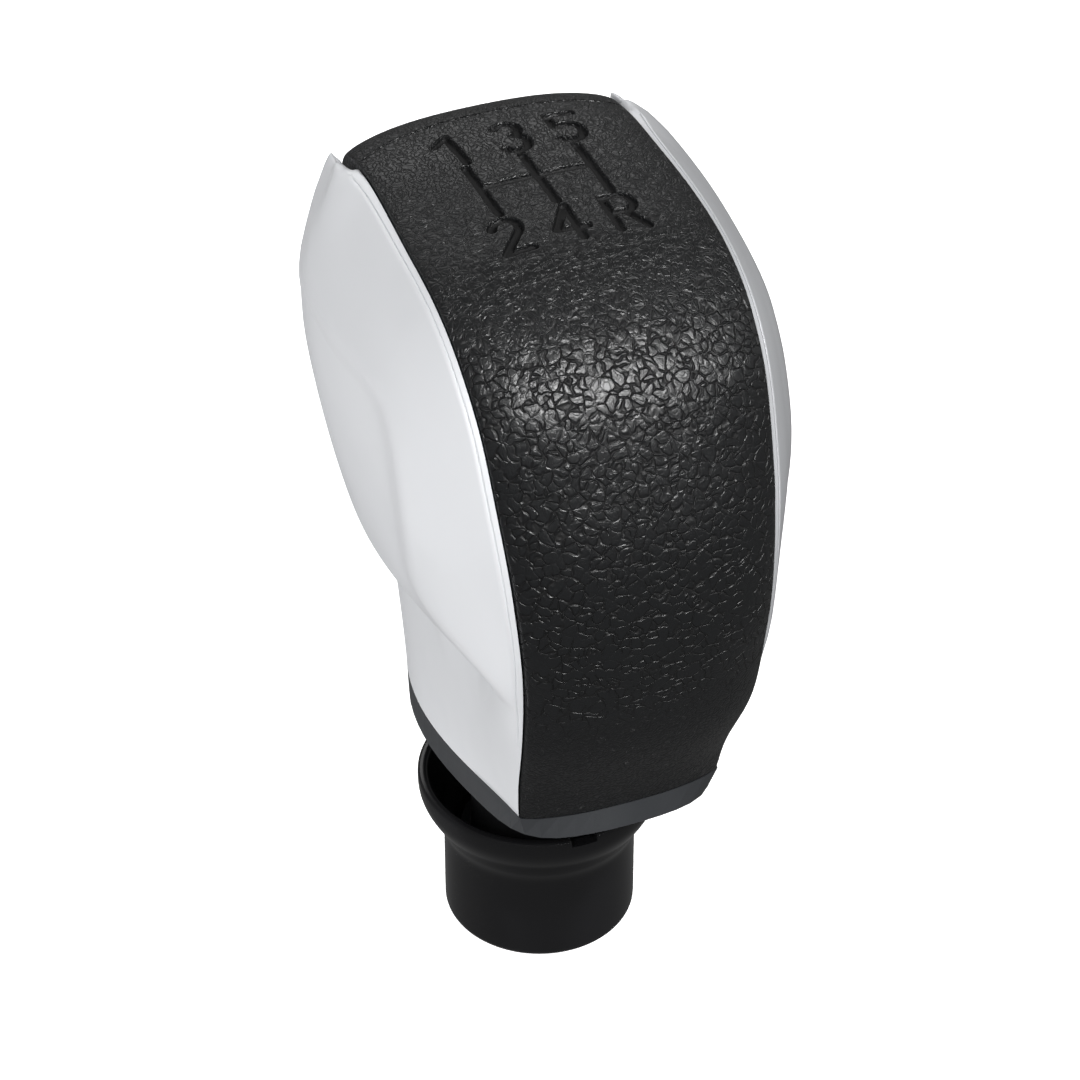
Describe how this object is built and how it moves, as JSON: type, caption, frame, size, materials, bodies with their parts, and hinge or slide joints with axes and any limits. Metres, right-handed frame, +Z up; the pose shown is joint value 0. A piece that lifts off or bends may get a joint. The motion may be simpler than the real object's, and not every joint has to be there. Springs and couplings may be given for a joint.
{
  "type": "gear shift knob",
  "caption": "Lever knob with a leather-grain band over a moulded core, bright side panels, a foot ring, a lever bush and a turning collar for the gaiter.",
  "frame": {"origin": "centre of the lever bore's mouth, level with the collar's foot", "axes": "+Z up the lever's axis, -Y towards the driver (the side of the belly), X across, with X = 0 the plane of symmetry of the head"},
  "size_m": [0.0464, 0.0575, 0.0978],
  "materials": {
    "core_plastic": "black moulded plastic",
    "grained_skin": "black leather-grain skin, semi-gloss",
    "satin_plating": "satin silver plated plastic",
    "ring_plastic": "satin black plastic",
    "zinc_steel": "zinc plated steel",
    "bush_nylon": "black nylon",
    "spring_steel": "tempered spring steel",
    "collar_plastic": "glossy black plastic"
  },
  "bodies": {
    "knob": {"core_body": "core_plastic", "grained_band": "grained_skin", "left_panel": "satin_plating", "right_panel": "satin_plating", "foot_ring": "ring_plastic", "foot_screws": "zinc_steel", "lever_bush": "bush_nylon", "spring_band": "spring_steel"},
    "collar": {"gaiter_collar": "collar_plastic"}
  },
  "joints": [
    {"name": "collar_turn", "type": "hinge", "parent": "knob", "child": "collar", "pos_m": [0, 0, 0.007], "axis": [0, 0, 1], "range_deg": [0, 90]}
  ]
}
